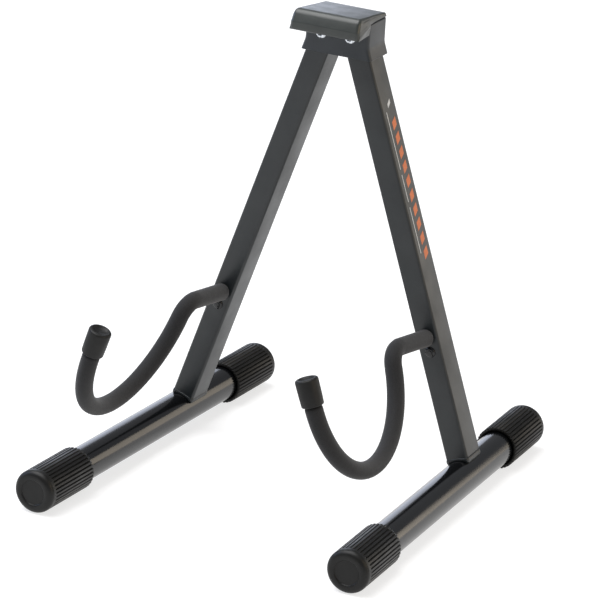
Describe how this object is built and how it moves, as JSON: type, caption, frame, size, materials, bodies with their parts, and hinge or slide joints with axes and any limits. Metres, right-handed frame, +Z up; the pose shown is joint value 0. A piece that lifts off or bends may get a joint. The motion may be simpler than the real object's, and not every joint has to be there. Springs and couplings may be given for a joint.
{
  "type": "folding guitar stand",
  "caption": "Folding A-frame floor stand with ribbed rubber feet, foam-covered cradle arms and a rubber head pad for an electric guitar.",
  "frame": {"origin": "on the floor, midway between the two foot tubes and midway along them", "axes": "+Z up; -Y towards the cradle arms, where the guitar rests; +X to the right when facing +Y"},
  "size_m": [0.2772, 0.3206, 0.3456],
  "materials": {
    "foot_paint": "gloss black powder coat",
    "leg_paint": "satin black powder coat",
    "bracket_paint": "satin black powder coat",
    "bare_steel": "drawn",
    "bright_steel": "zinc plated",
    "washer_nylon": "natural",
    "cap_rubber": "moulded",
    "tip_rubber": "moulded",
    "pad_rubber": "moulded",
    "sleeve_foam": "closed-cell foam"
  },
  "bodies": {
    "head": {"head_bracket": "bracket_paint", "head_pad": "pad_rubber", "left_pivot_bolt": "bright_steel", "left_pivot_nut": "bright_steel", "left_front_washer": "washer_nylon", "left_rear_washer": "washer_nylon", "left_pivot_bush": "bare_steel", "right_pivot_bolt": "bright_steel", "right_pivot_nut": "bright_steel", "right_front_washer": "washer_nylon", "right_rear_washer": "washer_nylon", "right_pivot_bush": "bare_steel"},
    "left_leg": {"left_foot_tube": "foot_paint", "left_front_cap": "cap_rubber", "left_rear_cap": "cap_rubber", "left_leg_tube": "leg_paint", "left_leg_weld": "leg_paint", "left_arm_rod": "bare_steel", "left_arm_weld": "leg_paint", "left_arm_sleeve": "sleeve_foam", "left_arm_tip": "tip_rubber"},
    "right_leg": {"right_foot_tube": "foot_paint", "right_front_cap": "cap_rubber", "right_rear_cap": "cap_rubber", "right_leg_tube": "leg_paint", "right_leg_weld": "leg_paint", "right_arm_rod": "bare_steel", "right_arm_weld": "leg_paint", "right_arm_sleeve": "sleeve_foam", "right_arm_tip": "tip_rubber"}
  },
  "joints": [
    {"name": "left_leg_fold", "type": "hinge", "parent": "head", "child": "left_leg", "pos_m": [-0.0108, 0.0456, 0.327], "axis": [-0.0349, -0.9994, 0], "range_deg": [0, 16.9]},
    {"name": "right_leg_fold", "type": "hinge", "parent": "head", "child": "right_leg", "pos_m": [0.0108, 0.0456, 0.327], "axis": [-0.0349, 0.9994, 0], "range_deg": [0, 16.9]}
  ]
}
